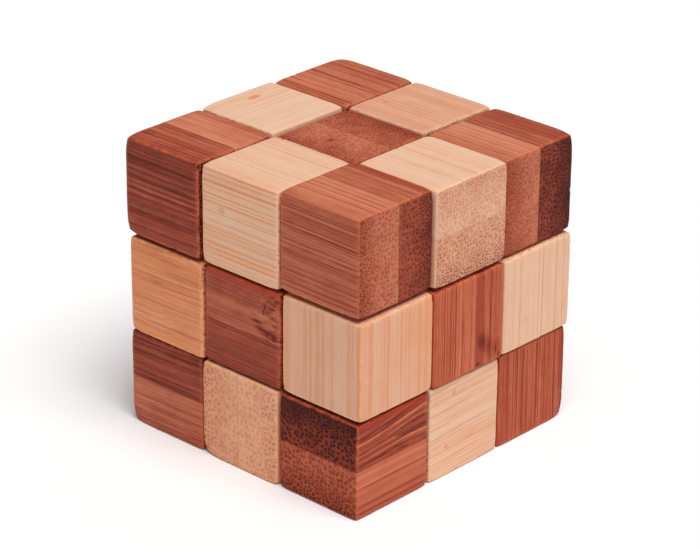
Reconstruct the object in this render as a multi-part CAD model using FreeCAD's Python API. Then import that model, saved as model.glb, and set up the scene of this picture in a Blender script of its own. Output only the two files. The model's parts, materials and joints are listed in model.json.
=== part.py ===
import FreeCAD, Part
import math
import os

os.makedirs("parts", exist_ok=True)

# A snake puzzle packed into its cube: 27 bamboo cubelets threaded on one elastic cord.
# Millimetres, +Z up. The origin is under the middle of the packed cube, on the surface it rests on.

Vector = FreeCAD.Vector

# ---- driving dimensions ----
CUBELET_SIDE = 18.1
CUBELET_GAP = 0.3
EDGE_RADIUS = 0.8
HOLE_RADIUS = 2.2
HOLE_MOUTH_CHAMFER = 0.35
DRILL_POINT_ANGLE = 118.0
END_HOLE_DEPTH = 13.6
CUTTER_OVERRUN = 1.0
CORD_RADIUS = 1.25
CORD_BEND_RADIUS = 3.5
TWIST_CORD_LENGTH = 6.3
PINCH_START_DEPTH = 3.6
PINCH_OFFSET = 0.9
CORD_END_DEPTH = 12.4
PEG_HEAD_RADIUS = 0.85
PEG_TIP_RADIUS = 0.65
PEG_LENGTH = 5.2
PEG_OFFSET = 1.3

PITCH = CUBELET_SIDE + CUBELET_GAP
DRILL_POINT_HEIGHT = HOLE_RADIUS / math.tan(math.radians(DRILL_POINT_ANGLE / 2))

# The cord's way through the packed cube, one (column, row, layer) cell for each cubelet in turn.
# It fills the bottom layer, then the middle one, then the top one.
ROUTE = [
    (0, 0, 0), (0, 1, 0), (0, 2, 0), (1, 2, 0), (1, 1, 0), (1, 0, 0), (2, 0, 0), (2, 1, 0), (2, 2, 0),
    (2, 2, 1), (1, 2, 1), (0, 2, 1), (0, 1, 1), (0, 0, 1), (1, 0, 1), (2, 0, 1), (2, 1, 1), (1, 1, 1),
    (1, 1, 2), (2, 1, 2), (2, 2, 2), (1, 2, 2), (0, 2, 2), (0, 1, 2), (0, 0, 2), (1, 0, 2), (2, 0, 2),
]
COUNT = len(ROUTE)

# The two links where a whole layer turns on the rest. Each has a short cord piece of its own.
TWIST_LINKS = (9, 18)

# How far a hand-packed cubelet sits off its cell, in millimetres.
OFF_CELL = {
    6: (-0.1, -0.25, 0.0),
    8: (0.06, 0.0, 0.0),
    10: (0.4, 0.14, -0.18),
    11: (0.0, 0.08, 0.0),
    14: (0.4, -0.18, -0.2),
    15: (0.35, 0.2, -0.08),
    16: (0.45, 0.24, 0.16),
    17: (0.5, 0.28, -0.15),
    19: (-0.2, 0.0, -0.2),
    20: (0.36, 0.35, 0.1),
    21: (-0.05, 0.15, 0.0),
    22: (-0.25, -0.1, 0.05),
    23: (-0.33, -0.1, 0.03),
    24: (-0.45, -0.2, 0.2),
    25: (-0.3, -0.12, 0.05),
    26: (-0.05, 0.12, 0.08),
    27: (-0.08, 0.27, 0.55),
}


def cell_centre(number):
    """Middle of a cubelet's cell, on the cord's centre line."""
    column, row, layer = ROUTE[number - 1]
    return Vector((column - 1) * PITCH, (row - 1) * PITCH, CUBELET_SIDE / 2 + layer * PITCH)


def direction_to(number, neighbour):
    """Unit vector from one cubelet's cell to the next one along the cord."""
    step = cell_centre(neighbour) - cell_centre(number)
    return step.normalize()


def hole_directions(number):
    """The faces of a cubelet that the cord passes through."""
    directions = []
    if number > 1:
        directions.append(direction_to(number, number - 1))
    if number < COUNT:
        directions.append(direction_to(number, number + 1))
    return directions


def is_straight(directions):
    return len(directions) == 2 and (directions[0] + directions[1]).Length < 1e-6


def rounded_cubelet(number):
    """The cubelet's block, all its edges rounded."""
    corner = cell_centre(number) + Vector(*OFF_CELL.get(number, (0.0, 0.0, 0.0)))
    corner = corner - Vector(CUBELET_SIDE, CUBELET_SIDE, CUBELET_SIDE) / 2
    block = Part.makeBox(CUBELET_SIDE, CUBELET_SIDE, CUBELET_SIDE, corner)
    return block.makeFillet(EDGE_RADIUS, block.Edges)


def drilled_hole(centre, outward, depth):
    """A blind hole from one face: straight bore, conical drill point and a broken edge at its mouth."""
    inward = -outward
    face = centre + outward * (CUBELET_SIDE / 2)
    start = face + outward * CUTTER_OVERRUN
    bore = Part.makeCylinder(HOLE_RADIUS, depth + CUTTER_OVERRUN, start, inward)
    point = Part.makeCone(HOLE_RADIUS, 0, DRILL_POINT_HEIGHT, face + inward * depth, inward)
    mouth_height = HOLE_MOUTH_CHAMFER + CUTTER_OVERRUN
    mouth = Part.makeCone(HOLE_RADIUS + mouth_height, HOLE_RADIUS, mouth_height, start, inward)
    return bore.fuse([point, mouth])


def hole_depth(directions):
    """Ends have a deep blind hole, corners two that meet, and straights two that run into each other."""
    if len(directions) == 1:
        return END_HOLE_DEPTH
    if is_straight(directions):
        return CUBELET_SIDE / 2 + HOLE_RADIUS
    return CUBELET_SIDE / 2 + HOLE_RADIUS / 2


def cubelet(number):
    """One bamboo cubelet with the holes its place on the cord needs."""
    directions = hole_directions(number)
    centre = cell_centre(number)
    depth = hole_depth(directions)
    holes = [drilled_hole(centre, outward, depth) for outward in directions]
    return rounded_cubelet(number).cut(holes)


def reach(number, neighbour):
    """How far the cord segment runs from a cubelet's middle towards a neighbour."""
    if min(number, neighbour) in TWIST_LINKS:
        return (PITCH - TWIST_CORD_LENGTH) / 2
    return PITCH / 2


def swept_cord(edges, start, heading):
    """A round cord along edges that join smoothly."""
    ring = Part.Wire(Part.makeCircle(CORD_RADIUS, start, heading))
    return Part.Wire(edges).makePipe(Part.Face(ring))


def straight_cord(start, end):
    span = end - start
    return Part.makeCylinder(CORD_RADIUS, span.Length, start, span)


def bend(start, heading, side, radius, angle):
    """An arc edge that leaves start along heading and turns by angle degrees towards side."""
    turn = math.radians(angle)
    pivot = start + side * radius

    def on_arc(part_turn):
        return pivot - side * (radius * math.cos(part_turn)) + heading * (radius * math.sin(part_turn))

    end = on_arc(turn)
    new_heading = heading * math.cos(turn) + side * math.sin(turn)
    new_side = side * math.cos(turn) - heading * math.sin(turn)
    return Part.Arc(start, on_arc(turn / 2), end).toShape(), end, new_heading, new_side


def corner_cord(number, to_previous, to_next):
    """The cord round a corner cubelet: in, a quarter bend, out."""
    centre = cell_centre(number)
    start = centre + to_previous * reach(number, number - 1)
    bend_start = centre + to_previous * CORD_BEND_RADIUS
    arc, bend_end, _, _ = bend(bend_start, -to_previous, to_next, CORD_BEND_RADIUS, 90)
    end = centre + to_next * reach(number, number + 1)
    edges = [Part.makeLine(start, bend_start), arc, Part.makeLine(bend_end, end)]
    return swept_cord(edges, start, -to_previous)


def pinch_side(outward):
    """The side of an end hole that the cord is pushed against by its peg."""
    return outward.cross(Vector(0, 0, 1))


def end_cord(number, outward):
    """The cord's last stretch: into the end cubelet, aside past the peg, and to its cut end."""
    neighbour = number + 1 if number == 1 else number - 1
    centre = cell_centre(number)
    face = centre + outward * (CUBELET_SIDE / 2)
    start = centre + outward * reach(number, neighbour)
    side = pinch_side(outward)
    bend_start = face - outward * PINCH_START_DEPTH
    swing = math.degrees(math.acos(1 - PINCH_OFFSET / (2 * CORD_BEND_RADIUS)))
    first, middle, heading, inner = bend(bend_start, -outward, side, CORD_BEND_RADIUS, swing)
    second, straightened, _, _ = bend(middle, heading, -inner, CORD_BEND_RADIUS, swing)
    end = face - outward * CORD_END_DEPTH + side * PINCH_OFFSET
    edges = [Part.makeLine(start, bend_start), first, second, Part.makeLine(straightened, end)]
    return swept_cord(edges, start, -outward)


def cord_segment(number):
    """The stretch of cord that lies in one cubelet."""
    directions = hole_directions(number)
    if len(directions) == 1:
        return end_cord(number, directions[0])
    to_previous, to_next = directions
    if is_straight(directions):
        centre = cell_centre(number)
        start = centre + to_previous * reach(number, number - 1)
        return straight_cord(start, centre + to_next * reach(number, number + 1))
    return corner_cord(number, to_previous, to_next)


def twist_cord(number):
    """The short cord piece between a layer and the layer that turns on it."""
    heading = direction_to(number, number + 1)
    middle = cell_centre(number) + heading * (PITCH / 2)
    half = heading * (TWIST_CORD_LENGTH / 2)
    return straight_cord(middle - half, middle + half)


def peg(number):
    """The tapered wooden peg that wedges the cord's end in its blind hole."""
    outward = hole_directions(number)[0]
    face = cell_centre(number) + outward * (CUBELET_SIDE / 2)
    head = face - outward * (CORD_END_DEPTH - PEG_LENGTH) - pinch_side(outward) * PEG_OFFSET
    return Part.makeCone(PEG_HEAD_RADIUS, PEG_TIP_RADIUS, PEG_LENGTH, head, -outward)


def write(name, shape):
    shape.exportStep("parts/" + name + ".step")


for number in range(1, COUNT + 1):
    write("cubelet_%02d" % number, cubelet(number))
    write("cord_%02d" % number, cord_segment(number))

for number in TWIST_LINKS:
    write("cord_%02d_%02d" % (number, number + 1), twist_cord(number))

for number in (1, COUNT):
    write("peg_%02d" % number, peg(number))
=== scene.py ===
import json
import math

import bmesh
import bpy
from mathutils import Matrix, Vector, noise

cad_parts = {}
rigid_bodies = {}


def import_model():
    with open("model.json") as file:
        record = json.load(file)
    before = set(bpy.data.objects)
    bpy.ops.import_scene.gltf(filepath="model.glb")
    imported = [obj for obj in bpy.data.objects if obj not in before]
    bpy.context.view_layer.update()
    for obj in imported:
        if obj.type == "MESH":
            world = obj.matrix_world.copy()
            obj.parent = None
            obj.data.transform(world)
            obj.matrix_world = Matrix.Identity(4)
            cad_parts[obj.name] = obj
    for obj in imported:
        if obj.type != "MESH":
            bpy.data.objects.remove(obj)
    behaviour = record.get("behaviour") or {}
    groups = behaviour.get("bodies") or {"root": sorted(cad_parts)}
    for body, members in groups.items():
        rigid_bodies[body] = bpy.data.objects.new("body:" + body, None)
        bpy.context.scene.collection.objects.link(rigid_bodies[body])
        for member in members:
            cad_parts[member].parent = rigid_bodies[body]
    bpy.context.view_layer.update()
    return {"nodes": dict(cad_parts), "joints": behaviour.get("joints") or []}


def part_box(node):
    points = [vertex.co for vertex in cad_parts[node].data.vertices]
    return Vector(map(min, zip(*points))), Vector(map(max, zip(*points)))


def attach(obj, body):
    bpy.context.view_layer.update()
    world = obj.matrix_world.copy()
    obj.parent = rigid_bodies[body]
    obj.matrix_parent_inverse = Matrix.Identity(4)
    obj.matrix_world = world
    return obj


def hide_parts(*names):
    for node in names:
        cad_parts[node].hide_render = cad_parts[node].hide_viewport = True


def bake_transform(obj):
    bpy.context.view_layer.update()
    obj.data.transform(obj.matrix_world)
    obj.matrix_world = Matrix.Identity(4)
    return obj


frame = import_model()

# A bamboo snake puzzle packed into its cube. Each cubelet is a worn, drilled block of bamboo with its
# own grain, and the elastic cord runs through all of them, one piece for each link of the chain.

MM = 0.001
COUNT = 27
CUBELETS = ["cubelet_%02d" % number for number in range(1, COUNT + 1)]
TWIST_LINKS = (9, 18)

# ---- sizes, in metres ----
EDGE_RADIUS = 0.5 * MM
EDGE_STEPS = 4
FACE_STEPS = 32
HOLE_RADIUS = 2.2 * MM
HOLE_SIDES = 48
MOUTH_CHAMFER = 0.35 * MM
END_HOLE_DEPTH = 13.6 * MM
DRILL_POINT_HEIGHT = 1.3 * MM
CORD_RADIUS = 1.2 * MM
CORD_BEND_RADIUS = 3.5 * MM
CORD_END_DEPTH = 12.4 * MM
CORD_SIDES = 32
CORD_STEP = 0.25 * MM
BRAID_DEPTH = 0.05 * MM
BRAID_STRANDS = 8
BRAID_LAY = 5.0 * MM

CUTTER_OVERRUN = 1.0 * MM

# ---- hand wear, in millimetres ----
EDGE_WEAR_REACH = 2.2
CORNER_WEAR_REACH = 2.6
BLUNT_REACH = 4.5
FACE_HOLLOW = 0.02
EDGE_EASE = 0.06
CHIP_THRESHOLD = 0.42

# ---- light and camera ----
CAMERA_AZIMUTH = 42.78
CAMERA_ELEVATION = 24.59
CAMERA_DISTANCE = 0.5179
CAMERA_ROLL = 0.47
CAMERA_LENS = 148.95
AIM = Vector((-0.00335, 0.00381, 0.02585))
KEY_TOWARD = (0.36, -0.13, 0.92)
KEY_ANGLE = 40
KEY_STRENGTH = 2.80
SKY_STRENGTH = 0.22


# ------------------------------------------------------------------ the chain, read from the frame

def box_of(name):
    low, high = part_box(name)
    return Vector(low), Vector(high)


def middle(name):
    low, high = box_of(name)
    return (low + high) / 2


def step_axes():
    """The direction from each cubelet to the next, from the stretch joints."""
    found = {}
    for joint in frame["joints"]:
        if joint["type"] == "slide":
            found[int(joint["parent"][-2:])] = Vector(joint["axis"])
    return [found[number] for number in range(1, COUNT)]


STEPS = step_axes()
SIDE = box_of(CUBELETS[0])[1].x - box_of(CUBELETS[0])[0].x
PITCH = (middle(CUBELETS[1]) - middle(CUBELETS[0])).length


def cell_centres():
    """Where the cord passes through each cubelet's cell, walking from the first cubelet."""
    centres = [middle(CUBELETS[0])]
    for step in STEPS:
        centres.append(centres[-1] + step * PITCH)
    return centres


CELLS = cell_centres()


def hole_directions(number):
    directions = []
    if number > 1:
        directions.append(-STEPS[number - 2])
    if number < COUNT:
        directions.append(STEPS[number - 1])
    return directions


# ------------------------------------------------------------------ small mesh helpers

def new_object(name, mesh, location=(0, 0, 0)):
    made = bpy.data.objects.new(name, mesh)
    made.location = location
    bpy.context.scene.collection.objects.link(made)
    return made


def mesh_from(bm, name):
    mesh = bpy.data.meshes.new(name)
    bm.to_mesh(mesh)
    bm.free()
    return mesh


def smooth(mesh, sharp_angle=40):
    mesh.shade_smooth()
    mesh.set_sharp_from_angle(angle=math.radians(sharp_angle))


# ------------------------------------------------------------------ cubelets

def edge_lines():
    """Grid lines across a face: close together over the rounded edges, even between them."""
    half = SIDE / 2
    flat = half - EDGE_RADIUS
    lines = []
    for index in range(FACE_STEPS + 1):
        lines.append(-flat + 2 * flat * index / FACE_STEPS)
    for index in range(1, EDGE_STEPS + 1):
        reach = flat + EDGE_RADIUS * math.tan(math.radians(45) * index / EDGE_STEPS)
        lines.append(reach)
        lines.insert(0, -reach)
    return lines


def rounded(point):
    """Moves a point of the sharp cube's surface onto the rounded one."""
    flat = SIDE / 2 - EDGE_RADIUS
    core = Vector([max(-flat, min(flat, value)) for value in point])
    return core + (point - core).normalized() * EDGE_RADIUS


def rounded_block():
    """A closed rounded cube of quads, about its own middle."""
    bm = bmesh.new()
    lines = edge_lines()
    half = SIDE / 2
    for axis in range(3):
        for sign in (-1, 1):
            rows = []
            for first in lines:
                row = []
                for second in lines:
                    point = Vector((0, 0, 0))
                    point[axis] = sign * half
                    point[(axis + 1) % 3] = first
                    point[(axis + 2) % 3] = second
                    row.append(bm.verts.new(rounded(point)))
                rows.append(row)
            for i in range(len(lines) - 1):
                for j in range(len(lines) - 1):
                    corners = [rows[i][j], rows[i + 1][j], rows[i + 1][j + 1], rows[i][j + 1]]
                    bm.faces.new(corners if sign > 0 else corners[::-1])
    bmesh.ops.remove_doubles(bm, verts=bm.verts, dist=1e-6)
    return bm


def edge_nearness(point):
    """1 on the cube's edges, falling to 0 a little way into its faces."""
    gaps = sorted(SIDE / 2 - abs(value) for value in point)
    return max(0.0, 1.0 - gaps[1] / (EDGE_WEAR_REACH * MM))


def corner_wear(point, blunt, seed):
    """How much deeper a point lies because the corner near it is rubbed round."""
    signs = Vector([1 if value > 0 else -1 for value in point])
    distance = (point - signs * (SIDE / 2)).length
    near = max(0.0, 1.0 - distance / (CORNER_WEAR_REACH * MM))
    deeper = (0.24 + 0.22 * noise.noise(signs * 2.7 + seed)) * near * near
    for x, y, z, depth in blunt:
        if signs == Vector((x, y, z)):
            near = max(0.0, 1.0 - distance / (BLUNT_REACH * MM))
            deeper += depth * near * near
    return deeper


def wear(bm, number, look):
    """Hand wear: edges eased unevenly, small chips along them, faces not quite flat."""
    seed = Vector((number * 7.31, number * 3.17, number * 5.77))
    bm.normal_update()
    moves = []
    for vert in bm.verts:
        point = vert.co / MM
        near = edge_nearness(vert.co)
        wave = noise.noise(point * 0.09 + seed)
        ease = 0.5 + 0.5 * noise.noise(point * 0.35 + seed)
        chip = max(0.0, noise.noise(point * 1.1 + seed * 2) - CHIP_THRESHOLD)
        inward = FACE_HOLLOW + FACE_HOLLOW * wave
        inward += near * near * EDGE_EASE * ease
        inward += near * near * near * chip * look.rough
        inward += corner_wear(vert.co, look.blunt, seed)
        moves.append(vert.normal * -(max(0.0, inward) * MM))
    for vert, move in zip(bm.verts, moves):
        vert.co += move


def drill(direction, offset, depth):
    """The solid that one drilled hole takes away: mouth chamfer, bore and drill point."""
    half = SIDE / 2
    outline = [
        (half + CUTTER_OVERRUN, HOLE_RADIUS + MOUTH_CHAMFER + CUTTER_OVERRUN),
        (half - MOUTH_CHAMFER, HOLE_RADIUS),
        (half - depth, HOLE_RADIUS),
    ]
    tip_height = half - depth - DRILL_POINT_HEIGHT
    bm = bmesh.new()
    rings = []
    turn = direction.to_track_quat("Z", "Y").to_matrix()
    for height, radius in outline:
        ring = []
        for index in range(HOLE_SIDES):
            angle = 2 * math.pi * index / HOLE_SIDES
            point = Vector((radius * math.cos(angle), radius * math.sin(angle), height))
            ring.append(bm.verts.new(turn @ point + offset))
        rings.append(ring)
    tip = bm.verts.new(turn @ Vector((0, 0, tip_height)) + offset)
    bm.faces.new(rings[0])
    for upper, lower in zip(rings, rings[1:]):
        for index in range(HOLE_SIDES):
            after = (index + 1) % HOLE_SIDES
            bm.faces.new([upper[index], lower[index], lower[after], upper[after]])
    for index in range(HOLE_SIDES):
        after = (index + 1) % HOLE_SIDES
        bm.faces.new([rings[2][index], tip, rings[2][after]])
    bmesh.ops.recalc_face_normals(bm, faces=bm.faces)
    return bm


def hole_depth(directions):
    if len(directions) == 1:
        return END_HOLE_DEPTH
    if (directions[0] + directions[1]).length < 0.1:
        return SIDE / 2 + HOLE_RADIUS
    return SIDE / 2 + HOLE_RADIUS / 2


def cut(target, tools):
    """Takes the tools away from the target and leaves a plain mesh."""
    for tool in tools:
        modifier = target.modifiers.new("hole", "BOOLEAN")
        modifier.object = tool
        modifier.operation = "DIFFERENCE"
        modifier.solver = "EXACT"
    graph = bpy.context.evaluated_depsgraph_get()
    mesh = bpy.data.meshes.new_from_object(target.evaluated_get(graph))
    target.modifiers.clear()
    target.data = mesh
    for tool in tools:
        bpy.data.objects.remove(tool)


def make_cubelet(number, look):
    """One worn bamboo cubelet, drilled for the cord, in place of its CAD node."""
    node = CUBELETS[number - 1]
    bm = rounded_block()
    wear(bm, number, look)
    centre = middle(node)
    piece = new_object(node + "_bamboo", mesh_from(bm, node + "_bamboo"), centre)
    directions = hole_directions(number)
    depth = hole_depth(directions)
    tools = []
    for direction in directions:
        solid = drill(direction, CELLS[number - 1] - centre, depth)
        tools.append(new_object("drill", mesh_from(solid, "drill"), centre))
    bpy.context.view_layer.update()
    cut(piece, tools)
    smooth(piece.data)
    return piece


# ------------------------------------------------------------------ shader building

class Nodes:
    """Writes a material's node tree as short expressions. A value is a number or an output socket."""

    def __init__(self, name):
        self.material = bpy.data.materials.new(name)
        self.material.use_nodes = True
        self.tree = self.material.node_tree
        self.tree.nodes.clear()

    def put(self, kind, settings=None, **inputs):
        node = self.tree.nodes.new(kind)
        for key, value in (settings or {}).items():
            setattr(node, key, value)
        for key, value in inputs.items():
            self.feed(node.inputs[key.replace("_", " ")], value)
        return node

    def feed(self, socket, value):
        if isinstance(value, bpy.types.NodeSocket):
            self.tree.links.new(value, socket)
        elif value is not None:
            socket.default_value = value

    def math(self, operation, first, second=None):
        node = self.tree.nodes.new("ShaderNodeMath")
        node.operation = operation
        self.feed(node.inputs[0], first)
        self.feed(node.inputs[1], second)
        return node.outputs[0]

    def add(self, *values):
        total = values[0]
        for value in values[1:]:
            total = self.math("ADD", total, value)
        return total

    def mul(self, *values):
        total = values[0]
        for value in values[1:]:
            total = self.math("MULTIPLY", total, value)
        return total

    def sub(self, first, second):
        return self.math("SUBTRACT", first, second)

    def ramp(self, value, start, end, low=0.0, high=1.0):
        """low at start, high at end, smooth between, flat outside."""
        settings = {"interpolation_type": "SMOOTHSTEP"}
        node = self.put("ShaderNodeMapRange", settings)
        sockets = (value, start, end, low, high)
        for index, item in enumerate(sockets):
            self.feed(node.inputs[index], item)
        return node.outputs[0]

    def combine(self, x, y, z):
        return self.put("ShaderNodeCombineXYZ", X=x, Y=y, Z=z).outputs[0]

    def object_place(self):
        """Where a point is on its own object, in millimetres, and the object's texture coordinates."""
        coord = self.put("ShaderNodeTexCoord")
        settings = {"operation": "SCALE"}
        place = self.put("ShaderNodeVectorMath", settings, Vector=coord.outputs["Object"], Scale=1 / MM)
        return place.outputs[0], coord.outputs

    def noise(self, vector, scale=1.0, detail=2.0, rough=0.5):
        node = self.put("ShaderNodeTexNoise", Vector=vector, Scale=scale, Detail=detail, Roughness=rough)
        return node.outputs[0]

    def mix(self, factor, first, second, blend="MIX"):
        node = self.put("ShaderNodeMix", {"data_type": "RGBA", "blend_type": blend})
        self.feed(node.inputs[0], factor)
        self.feed(node.inputs[6], first)
        self.feed(node.inputs[7], second)
        return node.outputs[2]

    def colours(self, value, stops):
        node = self.tree.nodes.new("ShaderNodeValToRGB")
        elements = node.color_ramp.elements
        while len(elements) < len(stops):
            elements.new(0.5)
        for element, (place, colour) in zip(elements, stops):
            element.position = place
            element.color = colour
        self.feed(node.inputs[0], value)
        return node.outputs[0]

    def surface(self, colour, roughness, height, depth, **constants):
        """Ends the tree in one shader with bump. depth is the bump's height in metres."""
        bump = self.put("ShaderNodeBump", Strength=1.0, Distance=depth, Height=height)
        shader = self.put("ShaderNodeBsdfPrincipled", Base_Color=colour, Roughness=roughness,
                          Normal=bump.outputs[0])
        for key, value in constants.items():
            shader.inputs[key.replace("_", " ")].default_value = value
        output = self.put("ShaderNodeOutputMaterial")
        self.tree.links.new(shader.outputs[0], output.inputs[0])
        return self.material


def rgb(red, green, blue):
    """A colour given as 0 to 255, as linear RGBA."""
    linear = []
    for value in (red, green, blue):
        part = value / 255
        linear.append(part / 12.92 if part <= 0.04045 else ((part + 0.055) / 1.055) ** 2.4)
    return (linear[0], linear[1], linear[2], 1.0)


# ------------------------------------------------------------------ bamboo

# Shade 0 is the palest wood of its kind and 1 the deepest.
DARK_STOPS = [
    (0.0, rgb(226, 158, 124)),
    (0.30, rgb(206, 124, 92)),
    (0.55, rgb(163, 76, 53)),
    (0.80, rgb(105, 35, 22)),
    (1.0, rgb(42, 19, 13)),
]
LIGHT_STOPS = [
    (0.0, rgb(242, 210, 184)),
    (0.30, rgb(235, 191, 161)),
    (0.55, rgb(216, 153, 122)),
    (0.80, rgb(176, 108, 82)),
    (1.0, rgb(98, 58, 44)),
]
# Pale colours for the cubelets' edges: real wear, and also a painted highlight along the rounded edges.
WORN_AND_HIGHLIGHT = {"dark": rgb(208, 108, 72), "light": rgb(246, 198, 154)}
GLUE = {"dark": rgb(86, 30, 20), "light": rgb(196, 126, 92)}
TINT = {"dark": rgb(182, 62, 38), "light": rgb(236, 152, 94)}
# What the light that comes back from a warmer cubelet is multiplied by.
WARMTH = (1.06, 0.74, 0.52, 1.0)

# How much each part of the pattern deepens the shade, on side grain and on end grain.
# Side grain deepens where the bundles crowd at a strip's outer face. This is partly denser wood and
# partly painted shade, which darkens that face of a dark cubelet compared with its other faces.
CROWDED_SIDE_AND_SHADE = {"dark": 0.12, "light": 0.02}
BAND_SIDE = 0.22
FIBRES_SIDE = 0.50
BUNDLES_SIDE = 0.08
LINES_SIDE = 0.26
PORES_SIDE = 0.16
CROWDED_END = {"dark": 0.16, "light": 0.08}
BUNDLES_END = 0.24
CROWDED_BUNDLES_END = 0.28
SPECK_END = 0.34
BAND_END = 0.20
END_LEVEL = -0.12
MOTTLE = 0.12


class Look:
    """How one cubelet's wood looks. Axes are x, y or z, and places are millimetres from its middle.

    In each pair, the first is for the strip below the join and the second for the strip above it.

    grain: the axis its fibres run along.
    layers: the axis its two glued strips are stacked along.
    join: where the strips meet.
    shade: how deep the wood is.
    end: how much deeper its end grain is.
    outer: the side (-1 or 1) towards which the fibre bundles crowd.
    tilt: how far the fibres climb for each millimetre of grain.
    lines: strength of the scattered dark lines.
    wander: how far the fibres stray.
    streaks: strength of the fibres.
    tint: share of warm streaks.
    ground: how far the whole cubelet leans to a warmer colour.
    dots: fibre bundles in a millimetre where they are sparse.
    tight: how many times more where they crowd.
    bold: how strongly they show on end grain.
    fan: how the lines of the upper strip spread along the grain.
    knot: a bamboo node's place along the grain and its reach, in the upper strip.
    rim: depth of a red band along the top of the upper strip.
    threads: single lines, each (axis, place, width, depth), paler where depth is below 0.
    marks: small dark spots, each (x, y, z, half length along the grain, half width, depth).
    blunt: corners rubbed rounder, each (x, y, z, depth) with signs for the corner.
    rough: how deep the edge chips are.
    """

    def __init__(self, kind, grain, layers, join=0.0, shade=(0.4, 0.4), end=(0.1, 0.1), outer=(-1, 1),
                 tilt=0.0, lines=(0.3, 0.3), wander=(0.2, 0.2), streaks=(1.0, 1.0), tint=0.4, ground=0.0,
                 dots=1.0, tight=1.5, bold=(1.0, 1.0), fan=0.0, knot=None, rim=0.0,
                 threads=(), marks=(), blunt=(), rough=0.8):
        self.kind = kind
        self.grain = grain
        self.layers = layers
        self.join = join
        self.shade = shade
        self.end = end
        self.outer = outer
        self.tilt = tilt
        self.lines = lines
        self.wander = wander
        self.streaks = streaks
        self.tint = tint
        self.ground = ground
        self.dots = dots
        self.tight = tight
        self.bold = bold
        self.fan = fan
        self.knot = knot
        self.rim = rim
        self.threads = threads
        self.marks = marks
        self.blunt = blunt
        self.rough = rough


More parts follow.
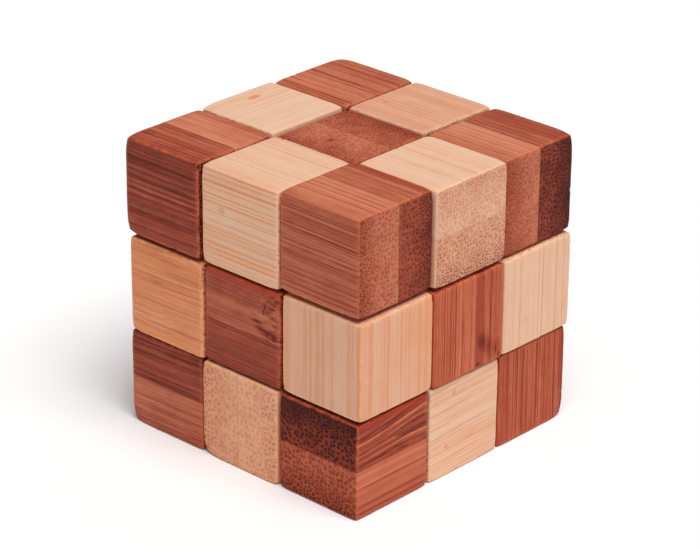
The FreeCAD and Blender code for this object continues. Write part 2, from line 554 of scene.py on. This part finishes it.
LOOKS = {
    1: Look("dark", "x", "z", 0.3, (0.40, 0.61), tilt=0.03, lines=(0.1, 0.2),
            threads=[("z", 8.0, 0.3, 0.10), ("z", 7.0, 0.4, 0.12), ("z", 5.7, 0.7, 0.08),
                     ("z", 3.4, 0.3, 0.12), ("z", 1.8, 0.3, 0.10), ("z", 0.45, 0.3, 0.14),
                     ("z", -3.1, 0.2, 0.08), ("z", -4.6, 0.3, 0.07), ("z", -6.2, 0.2, 0.14),
                     ("z", -6.9, 0.2, 0.10), ("z", -7.6, 0.3, 0.08)],
            blunt=[(-1, -1, -1, 0.4)]),
    2: Look("light", "y", "x", 2.0, (0.30, 0.40), streaks=(0.6, 0.6)),
    3: Look("dark", "x", "z", -1.0, (0.45, 0.55)),
    4: Look("light", "x", "z", 1.0, (0.38, 0.30), streaks=(0.6, 0.6)),
    5: Look("dark", "y", "x", 0.0, (0.50, 0.40)),
    6: Look("light", "y", "x", -0.3, (0.44, 0.40), (0.09, 0.07), tight=1.15, bold=(0.6, 0.65),
            streaks=(0.6, 0.6), ground=0.45, blunt=[(-1, -1, -1, 0.5)]),
    7: Look("dark", "y", "z", 0.35, (0.40, 0.56), (0.17, 0.26), lines=(0.0, 0.6), wander=(0.2, 0.9),
            fan=0.16, rim=1.2, streaks=(0.35, 1.3), ground=0.35, dots=1.05, bold=(0.9, 1.25),
            threads=[("z", 7.3, 0.5, 0.16), ("z", 6.7, 0.3, 0.12), ("z", 6.1, 0.2, -0.20),
                     ("z", 5.2, 0.3, 0.14), ("z", 4.3, 0.3, 0.14), ("z", 3.7, 0.2, -0.12),
                     ("z", 2.9, 0.3, 0.16), ("z", 2.3, 0.2, -0.20), ("z", 1.5, 0.35, 0.16),
                     ("z", -0.9, 0.8, -0.06), ("z", -2.7, 0.25, -0.10), ("z", -3.2, 0.22, 0.26),
                     ("z", -4.6, 0.2, 0.05), ("z", -6.6, 0.5, 0.12), ("z", -7.9, 0.4, 0.14)]),
    8: Look("light", "y", "z", 20.0, (0.33, 0.33), tilt=0.03, tint=0.5, streaks=(0.6, 0.6),
            threads=[("z", 7.4, 0.3, 0.04), ("z", 6.0, 0.3, 0.05), ("z", 4.0, 0.4, 0.07),
                     ("z", 2.6, 0.3, 0.04), ("z", 1.4, 0.3, 0.06), ("z", -0.6, 0.3, 0.05),
                     ("z", -2.2, 0.3, 0.05), ("z", -3.8, 0.35, 0.08), ("z", -5.4, 0.3, 0.07),
                     ("z", -6.8, 0.3, 0.06), ("z", -8.0, 0.3, 0.05)],
            marks=[(9.0, -2.9, 6.7, 0.35, 0.7, 0.14), (9.0, -4.7, -3.3, 0.5, 0.4, 0.14)]),
    9: Look("dark", "z", "y", 1.0, (0.43, 0.45), tilt=-0.015, lines=(0.6, 0.5), tint=0.8, ground=0.5,
            threads=[("y", -6.6, 0.25, 0.12), ("y", -5.2, 0.3, 0.20), ("y", -4.1, 0.3, 0.20),
                     ("y", -2.3, 0.25, 0.12), ("y", -0.5, 0.25, 0.10), ("y", 1.3, 0.5, 0.10),
                     ("y", 1.9, 0.25, 0.12), ("y", 3.5, 0.3, 0.06), ("y", 5.4, 0.2, 0.08),
                     ("y", 6.2, 0.35, 0.18), ("y", 8.2, 0.4, 0.10)],
            blunt=[(1, 1, -1, 0.4)]),
    10: Look("light", "z", "y", 1.4, (0.32, 0.32), streaks=(0.4, 0.4), tint=0.3,
             threads=[("y", -4.7, 0.3, 0.08), ("y", 0.4, 0.3, 0.06), ("y", 1.4, 0.3, 0.07),
                      ("y", 5.0, 0.4, 0.06), ("y", 7.0, 0.4, 0.05)],
             marks=[(9.0, -2.9, -4.0, 0.3, 0.3, 0.12), (9.0, -4.6, -1.7, 0.5, 0.25, 0.14)]),
    11: Look("dark", "x", "z", -2.0, (0.42, 0.52), lines=(0.5, 0.7)),
    12: Look("light", "y", "x", 0.0, (0.36, 0.44), streaks=(0.6, 0.6)),
    13: Look("dark", "y", "z", 1.5, (0.52, 0.40), lines=(0.6, 0.8)),
    14: Look("light", "x", "z", -0.9, (0.50, 0.55), tilt=0.025, streaks=(1.2, 1.2), tint=0.9, ground=0.85,
             lines=(0.3, 0.5),
             threads=[("z", 6.6, 0.6, 0.16), ("z", 5.6, 0.4, 0.12), ("z", 4.4, 0.4, 0.10),
                      ("z", 3.6, 0.2, -0.12), ("z", 2.2, 0.4, 0.10), ("z", 0.6, 0.4, 0.10),
                      ("z", -0.7, 0.4, 0.16), ("z", -3.3, 0.4, 0.12), ("z", -4.6, 1.6, -0.05),
                      ("z", -7.8, 0.9, 0.10)]),
    15: Look("dark", "x", "z", -0.75, (0.58, 0.48), lines=(0.1, 0.2), wander=(0.2, 0.3), rim=1.1,
             knot=(7.4, 3.6),
             threads=[("z", 7.1, 0.3, 0.10), ("z", 6.6, 0.3, 0.08), ("z", 1.3, 0.3, 0.08),
                      ("z", -0.7, 0.3, 0.16), ("z", -1.3, 0.3, 0.12), ("z", -1.9, 0.25, 0.08),
                      ("z", -6.9, 0.28, 0.20), ("z", -7.5, 0.2, 0.14), ("z", -8.7, 0.3, 0.14)],
             marks=[(3.6, -9.0, 2.4, 1.4, 0.35, 0.20), (4.6, -9.0, 1.3, 1.5, 0.5, 0.34),
                    (6.3, -9.0, 0.65, 2.0, 0.7, 0.34), (8.2, -9.0, 0.3, 1.4, 0.7, 0.32),
                    (5.1, -9.0, 4.6, 0.2, 0.6, 0.26), (5.5, -9.0, 5.6, 0.2, 0.6, 0.28),
                    (3.0, -9.0, 3.5, 1.0, 0.2, 0.22), (7.6, -9.0, 4.3, 0.9, 0.2, 0.22),
                    (7.4, -9.0, 5.8, 0.7, 0.2, 0.22), (8.3, -9.0, 7.4, 0.8, 0.25, 0.26)]),
    16: Look("light", "z", "x", 0.6, (0.40, 0.38), tint=0.5, streaks=(0.28, 0.34), ground=0.1,
             threads=[("x", -7.9, 0.9, 0.06), ("x", -3.5, 0.2, 0.10), ("x", -4.2, 0.3, 0.04),
                      ("x", 0.2, 0.25, 0.05), ("x", 0.8, 0.2, 0.04), ("x", 6.4, 0.35, 0.08),
                      ("x", 7.2, 0.3, 0.06), ("x", 8.6, 0.8, 0.08), ("y", -6.9, 0.3, 0.10),
                      ("y", -3.2, 0.25, 0.08), ("y", 2.2, 0.2, 0.10), ("y", 3.0, 0.2, 0.10),
                      ("y", 5.6, 0.25, 0.10), ("y", 7.4, 0.3, 0.08)],
             bold=(0.3, 0.3), rough=0.3, marks=[(-3.4, -9.0, 4.2, 0.4, 0.2, 0.20)]),
    17: Look("dark", "z", "y", 1.6, (0.36, 0.44), outer=(-1, -1), lines=(0.4, 0.3), tint=0.8, ground=0.5,
             threads=[("y", -6.5, 0.25, 0.20), ("y", -5.9, 0.2, 0.14), ("y", -4.3, 0.25, 0.20),
                      ("y", -3.6, 0.25, 0.20), ("y", -1.9, 0.25, 0.16), ("y", -1.3, 0.2, 0.12),
                      ("y", 0.3, 0.2, 0.08), ("y", 5.6, 0.5, 0.14)],
             marks=[(9.0, 3.3, -3.9, 1.6, 1.1, 0.19), (9.0, 4.7, -5.0, 1.6, 1.4, 0.16),
                    (9.0, 6.2, -6.2, 1.6, 2.2, 0.12), (9.0, 5.5, 1.0, 4.0, 0.25, 0.14),
                    (9.0, 7.1, -6.8, 1.0, 0.2, 0.24), (9.0, 7.9, -8.1, 0.8, 0.3, 0.32),
                    (9.0, 2.4, -8.3, 0.5, 0.8, 0.22)]),
    18: Look("light", "x", "y", 0.0, (0.35, 0.35), streaks=(0.6, 0.6)),
    19: Look("dark", "z", "y", 0.7, (0.43, 0.46), (0.06, 0.12), dots=1.2, bold=(0.55, 0.55),
             marks=[(-0.9, -4.0, 9.0, 0.6, 0.8, 0.20)]),
    20: Look("light", "x", "z", 0.1, (0.31, 0.27), (0.31, 0.27), dots=1.3, bold=(1.0, 0.65),
             streaks=(0.5, 0.5), tint=0.5, ground=0.05,
             threads=[("y", -3.0, 0.4, 0.06), ("y", 1.5, 0.4, 0.06), ("y", 4.0, 0.3, 0.05)]),
    21: Look("dark", "x", "y", 0.0, (0.28, 0.53), (0.22, 0.29), dots=1.25, bold=(0.5, 0.85),
             marks=[(9.0, -2.2, -6.0, 0.4, 0.4, 0.16)], blunt=[(1, 1, 1, 0.3)]),
    22: Look("light", "x", "y", 20.0, (0.47, 0.47), tint=0.4, streaks=(0.6, 0.6), ground=0.06,
             threads=[("y", 4.5, 1.5, 0.03), ("y", -1.0, 0.8, 0.02)],
             marks=[(-5.7, -2.6, 9.0, 0.5, 0.5, 0.28)]),
    23: Look("dark", "x", "y", -1.0, (0.36, 0.38), lines=(0.4, 0.4),
             threads=[("y", 5.2, 0.4, 0.12), ("y", 3.7, 0.3, 0.16), ("y", 2.6, 0.3, 0.08),
                      ("y", 0.1, 0.5, 0.14), ("y", -1.0, 0.3, 0.12), ("y", -5.1, 0.4, 0.12),
                      ("y", -7.2, 0.4, 0.16)],
             blunt=[(-1, 1, 1, 0.3)]),
    24: Look("light", "y", "x", 20.0, (0.28, 0.28), streaks=(0.5, 0.5), tint=0.4,
             marks=[(-5.4, 1.1, 9.0, 1.4, 0.6, 0.50)], blunt=[(-1, -1, 1, 0.3)]),
    25: Look("dark", "x", "y", 0.0, (0.52, 0.28), tilt=0.01, lines=(0.3, 0.2), rough=2.2,
             streaks=(1.15, 1.0),
             threads=[("z", 7.4, 0.2, 0.12), ("z", 6.7, 0.2, 0.14), ("z", 4.6, 0.2, 0.14),
                      ("z", 0.1, 0.2, 0.14), ("z", -2.4, 0.2, 0.14), ("z", -5.6, 0.2, 0.16),
                      ("z", 5.8, 0.4, 0.14), ("z", 3.5, 0.3, 0.20), ("z", 1.9, 0.25, 0.12),
                      ("z", 0.9, 0.3, 0.18), ("z", -1.3, 0.3, 0.20), ("z", -4.5, 0.6, 0.10),
                      ("z", -7.0, 0.35, 0.24), ("z", -8.7, 0.4, 0.10), ("y", -0.25, 0.4, 0.14),
                      ("y", -5.5, 0.6, 0.08), ("y", 8.0, 0.6, 0.07), ("y", -7.4, 0.4, 0.08)],
             marks=[(3.0, -9.0, -2.4, 0.3, 0.3, 0.10)],
             blunt=[(-1, -1, 1, 0.25), (-1, -1, -1, 0.25)]),
    26: Look("light", "x", "z", 20.0, (0.30, 0.30), tint=0.4, streaks=(0.8, 0.8), ground=0.1,
             threads=[("z", 7.6, 0.5, 0.08), ("z", 5.5, 0.4, 0.07), ("z", 4.2, 0.3, 0.12),
                      ("z", 3.5, 0.3, 0.07), ("z", -3.4, 0.3, 0.08), ("z", -4.6, 0.4, 0.08),
                      ("z", 8.4, 0.4, 0.12), ("z", 6.4, 0.4, 0.16), ("z", 2.8, 0.4, 0.12),
                      ("z", 1.0, 0.25, 0.10), ("z", -0.6, 0.3, 0.08), ("z", -1.8, 0.3, 0.08),
                      ("z", -2.4, 0.25, 0.10), ("z", -5.6, 0.4, 0.12), ("z", -6.5, 0.4, 0.14),
                      ("z", -7.5, 0.3, 0.06)],
             marks=[(-4.2, -9.0, 1.9, 0.9, 0.5, 0.24)]),
    27: Look("dark", "x", "y", 0.6, (0.31, 0.41), (0.17, 0.28), tilt=-0.01, lines=(0.2, 0.2), dots=1.2,
             bold=(0.65, 0.75),
             threads=[("z", 6.7, 0.28, 0.16), ("z", 5.1, 0.28, 0.14), ("z", 4.0, 0.25, 0.08),
                      ("z", 3.2, 0.35, 0.18), ("z", 0.7, 0.3, 0.10), ("z", 0.0, 0.25, 0.12),
                      ("z", -1.1, 0.35, 0.20), ("z", -2.0, 0.25, 0.08), ("z", -3.7, 0.25, 0.10),
                      ("z", -4.8, 0.3, 0.16), ("z", -6.7, 0.25, 0.12), ("z", -7.7, 0.3, 0.10),
                      ("y", 7.6, 0.3, 0.18), ("y", -2.0, 0.3, 0.08), ("y", -3.4, 0.3, 0.08),
                      ("y", -5.2, 0.3, 0.10)]),
}


def by_strip(n, upper, pair):
    """The value for the strip that a point is in."""
    if pair[0] == pair[1]:
        return pair[0]
    return n.add(n.mul(n.sub(1.0, upper), pair[0]), n.mul(upper, pair[1]))


def crowding(n, layer, look, upper):
    """0 on the side of a strip where fibre bundles are sparse, 1 where they crowd."""
    reach = SIDE / MM / 2
    bounds = [(-reach, min(look.join, reach)), (min(look.join, reach - 1.0), reach)]
    parts = []
    for (start, end), side in zip(bounds, look.outer):
        if side < 0:
            start, end = end, start
        node = n.put("ShaderNodeMapRange")
        for index, item in enumerate((layer, start, end, 0.0, 1.0)):
            n.feed(node.inputs[index], item)
        parts.append(node.outputs[0])
    return n.add(n.mul(n.sub(1.0, upper), parts[0]), n.mul(upper, parts[1]))


def dot_pattern(n, u, v, density, seed):
    """Round fibre bundles seen end on, some stronger than others."""
    at = n.combine(n.mul(n.add(u, seed), density), n.mul(n.add(v, seed * 2.0), density), 0.0)
    settings = {"voronoi_dimensions": "2D"}
    cells = n.put("ShaderNodeTexVoronoi", settings, Vector=at, Scale=1.0, Randomness=0.7)
    weight = n.put("ShaderNodeSeparateColor", Color=cells.outputs["Color"]).outputs[0]
    core = n.ramp(cells.outputs["Distance"], 0.46, 0.16)
    return n.mul(core, n.add(n.mul(weight, 0.5), 0.55))


def bamboo(number, look):
    """Solid bamboo: bundles of fibre that show as dots on end grain and as streaks along the sides."""
    n = Nodes("bamboo_%02d" % number)
    place, coord = n.object_place()
    split = n.put("ShaderNodeSeparateXYZ", Vector=place).outputs
    facing = n.put("ShaderNodeSeparateXYZ", Vector=coord["Normal"]).outputs
    axes = "xyz"
    across_name = [axis for axis in axes if axis not in (look.grain, look.layers)][0]
    along = split[axes.index(look.grain)]
    layer = split[axes.index(look.layers)]
    across = split[axes.index(across_name)]
    end_grain = n.ramp(n.math("ABSOLUTE", facing[axes.index(look.grain)]), 0.60, 0.85)
    side_grain = n.sub(1.0, end_grain)
    seed = number * 17.3
    half = SIDE / MM / 2

    def field(first, second, density, slow, shift=0.0):
        """A place in a pattern with a density across the grain, changing slowly along it."""
        depth = n.add(n.mul(along, slow), seed + shift)
        return n.combine(n.mul(first, density), n.mul(second, density), depth)

    upper = n.ramp(layer, look.join - 0.04, look.join + 0.04)
    crowd = crowding(n, layer, look, upper)
    crowd_steep = n.mul(crowd, crowd)

    # Slow wander of the fibres, their spread, and their swirl round a node.
    stray = n.mul(by_strip(n, upper, look.wander), 2.0)
    slow_noise = n.noise(field(layer, across, 0.08, 0.07), 1.0, 1.0)
    u = n.add(layer, n.mul(n.sub(slow_noise, 0.5), stray), n.mul(along, -look.tilt))
    slow_noise = n.noise(field(layer, across, 0.08, 0.07, 50.0), 1.0, 1.0)
    v = n.add(across, n.mul(n.sub(slow_noise, 0.5), stray), n.mul(along, -look.tilt))
    if look.fan:
        u = n.mul(u, n.add(1.0, n.mul(along, upper, -look.fan / half)))
    if look.knot:
        centre, width = look.knot
        knot = n.mul(n.ramp(n.math("ABSOLUTE", n.sub(along, centre)), width, 0.5), upper)
        curl = n.noise(field(layer, across, 0.45, 0.40), 1.0, 2.0)
        u = n.add(u, n.mul(knot, n.sub(curl, 0.5), 3.0))
        curl = n.noise(field(layer, across, 0.45, 0.40, 50.0), 1.0, 2.0)
        v = n.add(v, n.mul(knot, n.sub(curl, 0.5), 3.0))
    threads = single_lines(n, look, u, v, field)
    v = n.add(v, n.mul(upper, 37.0))

    # Fibre bundles: flat patterns of dots drawn out along the grain, sparse ones inside, close outside.
    sparse = dot_pattern(n, u, v, look.dots, seed)
    close = dot_pattern(n, u, v, look.dots * look.tight, seed + 5.0)
    jitter = n.noise(field(u, v, 0.8, 0.0), 1.0, 1.0)
    crowded = n.ramp(n.add(crowd, n.mul(n.sub(jitter, 0.5), 0.5)), 0.45, 0.65)
    bundles = n.add(n.mul(sparse, n.sub(1.0, crowded)), n.mul(close, crowded))

    # Bands, fibres and scattered dark lines, all drawn out along the grain.
    band = n.sub(n.noise(field(u, v, 0.30, 0.010), 1.0, 1.0), 0.5)
    fibres = n.sub(n.noise(field(u, v, 1.9, 0.012), 1.0, 3.0, 0.65), 0.5)
    strong = n.ramp(n.noise(field(u, v, 1.7, 0.010, 9.0), 1.0, 0.5), 0.60, 0.66)
    speck = n.sub(n.noise(field(u, v, 1.0, 1.0), 3.0, 2.0), 0.5)
    pores = n.sub(n.noise(field(u, v, 3.2, 0.40, 60.0), 1.0, 1.0), 0.5)
    mottle = n.sub(n.noise(field(layer, across, 0.30, 0.22, 80.0), 1.0, 2.0), 0.5)

    streaks = by_strip(n, upper, look.streaks)
    side = n.add(
        # Deeper side grain at a strip's outer face: partly denser wood, partly painted shade on that
        # face.
        n.mul(crowd_steep, crowd_steep, CROWDED_SIDE_AND_SHADE[look.kind]),
        n.mul(band, streaks, BAND_SIDE),
        n.mul(fibres, streaks, FIBRES_SIDE),
        n.mul(n.sub(bundles, 0.3), streaks, BUNDLES_SIDE),
        n.mul(strong, by_strip(n, upper, look.lines), LINES_SIDE),
        n.mul(pores, streaks, PORES_SIDE),
        threads,
    )
    bold = by_strip(n, upper, look.bold)
    end = n.add(
        by_strip(n, upper, look.end),
        n.mul(crowd_steep, CROWDED_END[look.kind]),
        n.mul(bundles, n.add(n.mul(crowd_steep, CROWDED_BUNDLES_END), BUNDLES_END), bold),
        n.mul(speck, SPECK_END),
        n.mul(band, BAND_END),
        END_LEVEL,
    )
    shade = n.add(by_strip(n, upper, look.shade), n.mul(side_grain, side), n.mul(end_grain, end))
    shade = n.add(shade, n.mul(mottle, MOTTLE))
    if look.knot:
        ticks = n.sub(n.noise(field(layer, across, 1.1, 0.35, 70.0), 1.0, 1.0), 0.5)
        shade = n.add(shade, n.mul(knot, ticks, side_grain, 0.8))
    spots = 0.0
    for mark in look.marks:
        spots = n.add(spots, spot(n, split, look, mark, fibres))
    shade = n.add(shade, spots)

    stops = DARK_STOPS if look.kind == "dark" else LIGHT_STOPS
    colour = n.mix(look.ground, n.colours(shade, stops), WARMTH, "MULTIPLY")
    warm = n.ramp(n.noise(field(u, v, 1.3, 0.010, 30.0), 1.0, 2.0), 0.48, 0.64)
    if look.kind == "light":
        traced = n.add(n.mul(threads, 4.5), n.mul(spots, 2.0))
    else:
        traced = n.mul(threads, 1.2)
    warm = n.math("MINIMUM", n.add(n.mul(warm, 0.34 * look.tint), traced), 0.8)
    colour = n.mix(n.mul(side_grain, n.math("MAXIMUM", warm, 0.0)), colour, TINT[look.kind])
    if look.rim:
        edge = half - look.rim
        rim = n.ramp(n.add(layer, n.mul(n.sub(jitter, 0.5), 0.8)), edge - 0.4, edge + 0.4)
        flank = n.ramp(n.math("ABSOLUTE", facing[axes.index(look.layers)]), 0.95, 0.70)
        colour = n.mix(n.mul(side_grain, rim, flank, 0.65), colour, TINT[look.kind])
    if look.join < half:
        seam = n.ramp(n.math("ABSOLUTE", n.sub(layer, look.join)), 0.15, 0.03)
        colour = n.mix(n.mul(seam, 0.35), colour, GLUE[look.kind])
    # Rubbed edges and a painted highlight along them, both mixed in with the pale worn colour.
    colour = n.mix(edge_wear_and_highlight(n, split, look, along, side_grain, seed), colour, WORN_AND_HIGHLIGHT[look.kind])

    height = n.add(n.mul(fibres, 0.8), n.mul(threads, -1.0), n.mul(bundles, -0.3), n.mul(speck, 0.3))
    roughness = n.add(0.52, n.mul(fibres, 0.25), n.mul(end_grain, 0.12))
    return n.surface(colour, roughness, height, 0.04 * MM, Specular_IOR_Level=0.12)


def single_lines(n, look, u, v, field):
    """The depth that a cubelet's named lines add, fading in and out along the grain."""
    total = 0.0
    for index, (axis, place, width, depth) in enumerate(look.threads):
        position = u if axis == look.layers else v
        line = n.ramp(n.math("ABSOLUTE", n.sub(position, place)), width * 0.75, width * 0.15)
        fade = n.ramp(n.noise(field(u, v, 0.3, 0.12, 3.0 * index), 1.0, 1.0), 0.25, 0.55, 0.35, 1.15)
        total = n.add(total, n.mul(line, fade, 1.3 * depth))
    return total


def spot(n, split, look, mark, fibres):
    """The depth that a small dark spot adds. It is streaked by the fibres it crosses."""
    *place, length, width, depth = mark
    terms = []
    for index, axis in enumerate("xyz"):
        reach = length if axis == look.grain else width
        offset = n.mul(n.sub(split[index], place[index]), 1.0 / reach)
        terms.append(n.math("POWER", n.math("ABSOLUTE", offset), 2.0))
    distance = n.math("SQRT", n.add(*terms))
    return n.mul(n.ramp(distance, 1.5, 0.2), n.add(n.mul(fibres, 2.6), 1.0), depth)


def edge_wear_and_highlight(n, split, look, along, side_grain, seed):
    """How rubbed a point is, with a painted highlight along the rounded edges: on all the cubelet's edges
    in patches, and most across the fibres' ends.
    """
    half = SIDE / MM / 2
    gaps = [n.sub(half, n.math("ABSOLUTE", part)) for part in split]
    low = n.math("MINIMUM", gaps[0], gaps[1])
    high = n.math("MAXIMUM", gaps[0], gaps[1])
    second = n.math("MAXIMUM", low, n.math("MINIMUM", high, gaps[2]))
    near = n.ramp(second, 0.55, 0.10)
    at = n.combine(split[0], split[1], n.add(split[2], seed))
    patchy = n.noise(at, 0.7, 3.0)
    tips = n.ramp(n.sub(half, n.math("ABSOLUTE", along)), 0.95, 0.55)
    strength = 0.35 if look.kind == "light" else 0.5
    tips = n.mul(tips, side_grain, n.ramp(patchy, 0.30, 0.60, 0.20, 0.55), strength)
    most = 0.45 + 0.19 * look.rough
    return n.math("MAXIMUM", n.mul(near, n.ramp(patchy, 0.35, 0.65, 0.10, most)), tips)


# ------------------------------------------------------------------ cord and pegs

def cord_material():
    """Matt black elastic with a woven jacket."""
    n = Nodes("elastic_jacket")
    place, _ = n.object_place()
    thread = n.noise(place, 9.0, 2.0)
    dust = n.ramp(n.noise(place, 1.5, 2.0), 0.45, 0.75)
    colour = n.colours(n.add(n.mul(thread, 0.7), n.mul(dust, 0.3)), [
        (0.2, rgb(26, 25, 26)),
        (0.8, rgb(70, 66, 66)),
    ])
    roughness = n.add(0.75, n.mul(thread, 0.15))
    return n.surface(colour, roughness, thread, 0.04 * MM, Sheen_Weight=0.3)


def peg_material():
    """Plain split bamboo, with a fine mottled grain."""
    n = Nodes("peg_bamboo")
    place, _ = n.object_place()
    fibre = n.noise(place, 4.0, 3.0)
    colour = n.colours(fibre, [
        (0.3, rgb(226, 190, 146)),
        (0.7, rgb(184, 136, 92)),
    ])
    roughness = n.add(0.6, n.mul(fibre, 0.2))
    return n.surface(colour, roughness, fibre, 0.04 * MM)


def half_way(number, heading_out, length_out):
    """Centre line from the middle of a cubelet's own stretch of cord to length_out along heading_out.

    In a straight cubelet it is a line from the middle. In a corner one it starts at 45 degrees of the
    bend. In an end cubelet it starts at the cord's cut end.
    """
    centre = CELLS[number - 1]
    directions = hole_directions(number)
    points = []
    if len(directions) == 1:
        points.append(centre + heading_out * (SIDE / 2 - CORD_END_DEPTH))
    else:
        other = directions[0] if (directions[0] - heading_out).length > 0.1 else directions[1]
        if (other + heading_out).length < 0.1:
            points.append(centre)
        else:
            pivot = centre + (heading_out + other) * CORD_BEND_RADIUS
            for index in range(9):
                angle = math.radians(45 * index / 8)
                toward = -other * math.cos(angle) - heading_out * math.sin(angle)
                points.insert(0, pivot + toward * CORD_BEND_RADIUS)
    points.append(centre + heading_out * length_out)
    return points


def resample(points, step):
    """Points along the same route, step apart."""
    lengths = [0.0]
    for first, second in zip(points, points[1:]):
        lengths.append(lengths[-1] + (second - first).length)
    count = max(2, round(lengths[-1] / step))
    result = []
    leg = 0
    for index in range(count + 1):
        distance = lengths[-1] * index / count
        while leg < len(points) - 2 and lengths[leg + 1] < distance:
            leg += 1
        share = (distance - lengths[leg]) / (lengths[leg + 1] - lengths[leg])
        result.append(points[leg].lerp(points[leg + 1], share))
    return result


def braided_tube(name, points):
    """A closed round tube along points, with the low ridges of a braided jacket."""
    bm = bmesh.new()
    rings = []
    heading = (points[1] - points[0]).normalized()
    side = heading.orthogonal().normalized()
    travelled = 0.0
    for index, point in enumerate(points):
        ahead = points[min(index + 1, len(points) - 1)] - points[max(index - 1, 0)]
        new_heading = ahead.normalized()
        side = (side - new_heading * side.dot(new_heading)).normalized()
        up = new_heading.cross(side)
        if index:
            travelled += (point - points[index - 1]).length
        ring = []
        for part in range(CORD_SIDES):
            angle = 2 * math.pi * part / CORD_SIDES
            lay = 2 * math.pi * travelled / BRAID_LAY
            left = math.sin(BRAID_STRANDS * angle + BRAID_STRANDS * lay)
            right = math.sin(BRAID_STRANDS * angle - BRAID_STRANDS * lay)
            radius = CORD_RADIUS + BRAID_DEPTH * max(left, right)
            ring.append(bm.verts.new(point + (side * math.cos(angle) + up * math.sin(angle)) * radius))
        rings.append(ring)
    for first, second in zip(rings, rings[1:]):
        for part in range(CORD_SIDES):
            after = (part + 1) % CORD_SIDES
            bm.faces.new([first[part], first[after], second[after], second[part]])
    bm.faces.new(rings[0][::-1])
    bm.faces.new(rings[-1])
    bmesh.ops.recalc_face_normals(bm, faces=bm.faces)
    mesh = mesh_from(bm, name)
    smooth(mesh, 60)
    return new_object(name, mesh)


def add_cord():
    """The cord, one piece for each link, and two for each twisting link."""
    jacket = cord_material()
    for number in range(1, COUNT):
        heading = STEPS[number - 1]
        here = CELLS[number - 1] + heading * (PITCH / 2)
        first = half_way(number, heading, PITCH / 2)
        second = half_way(number + 1, -heading, PITCH / 2)
        name = "cord_%02d_to_%02d" % (number, number + 1)
        nodes = ["cord_%02d" % number]
        if number == COUNT - 1:
            nodes.append("cord_%02d" % COUNT)
        if number in TWIST_LINKS:
            twist_node = "cord_%02d_%02d" % (number, number + 1)
            low, high = box_of(twist_node)
            half = max(high - low) / 2
            lower_route = resample(first[:-1] + [here - heading * half], CORD_STEP)
            lower = braided_tube(name + "_lower", lower_route)
            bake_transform(lower)
            finish_piece(lower, jacket, nodes)
            upper_route = resample([here - heading * half] + second[::-1][1:], CORD_STEP)
            upper = braided_tube(name + "_upper", upper_route)
            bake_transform(upper)
            finish_piece(upper, jacket, [twist_node])
            continue
        route = resample(first + second[::-1][1:], CORD_STEP)
        piece = braided_tube(name, route)
        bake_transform(piece)
        finish_piece(piece, jacket, nodes)


def finish_piece(piece, material, nodes):
    piece.data.materials.clear()
    piece.data.materials.append(material)
    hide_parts(*nodes)


def add_cubelets():
    for number in range(1, COUNT + 1):
        look = LOOKS[number]
        piece = make_cubelet(number, look)
        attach(piece, CUBELETS[number - 1])
        finish_piece(piece, bamboo(number, look), [CUBELETS[number - 1]])


def add_pegs():
    """The pegs keep their CAD shape and get split bamboo's look."""
    material = peg_material()
    for number in (1, COUNT):
        peg = frame["nodes"]["peg_%02d" % number]
        peg.data.materials.clear()
        peg.data.materials.append(material)


# ------------------------------------------------------------------ studio

def add_floor():
    bm = bmesh.new()
    bmesh.ops.create_grid(bm, x_segments=8, y_segments=8, size=3.0)
    floor = new_object("floor", mesh_from(bm, "floor"))
    n = Nodes("floor_paper")
    coord = n.put("ShaderNodeTexCoord")
    tooth = n.noise(coord.outputs["Object"], 400.0, 2.0)
    colour = n.colours(tooth, [(0.0, rgb(253, 253, 253)), (1.0, rgb(254, 254, 254))])
    floor.data.materials.append(n.surface(colour, 0.9, tooth, 0.002 * MM))


def add_sun(toward, soft, strength):
    """A soft key light from a long way off."""
    lamp = bpy.data.lights.new("key", "SUN")
    lamp.angle = math.radians(soft)
    lamp.energy = strength
    made = bpy.data.objects.new("key", lamp)
    made.rotation_euler = Vector(toward).to_track_quat("Z", "Y").to_euler()
    bpy.context.scene.collection.objects.link(made)


def add_studio():
    add_floor()
    add_sun(KEY_TOWARD, KEY_ANGLE, KEY_STRENGTH)
    world = bpy.data.worlds.new("studio")
    bpy.context.scene.world = world
    world.use_nodes = True
    background = world.node_tree.nodes["Background"]
    background.inputs["Color"].default_value = (1, 1, 1, 1)
    background.inputs["Strength"].default_value = SKY_STRENGTH
    bpy.context.scene.view_settings.view_transform = "Standard"


def add_camera():
    data = bpy.data.cameras.new("camera")
    data.lens = CAMERA_LENS
    data.clip_start = 0.01
    data.clip_end = 20.0
    camera = bpy.data.objects.new("camera", data)
    azimuth = math.radians(CAMERA_AZIMUTH)
    elevation = math.radians(CAMERA_ELEVATION)
    back = Vector((math.sin(azimuth) * math.cos(elevation), -math.cos(azimuth) * math.cos(elevation),
                   math.sin(elevation)))
    turn = (-back).to_track_quat("-Z", "Y").to_matrix().to_4x4()
    roll = Matrix.Rotation(math.radians(CAMERA_ROLL), 4, "Z")
    camera.matrix_world = Matrix.Translation(AIM + back * CAMERA_DISTANCE) @ turn @ roll
    bpy.context.scene.collection.objects.link(camera)
    bpy.context.scene.camera = camera


add_camera()
add_studio()
add_cubelets()
add_cord()
add_pegs()

bpy.context.view_layer.update()
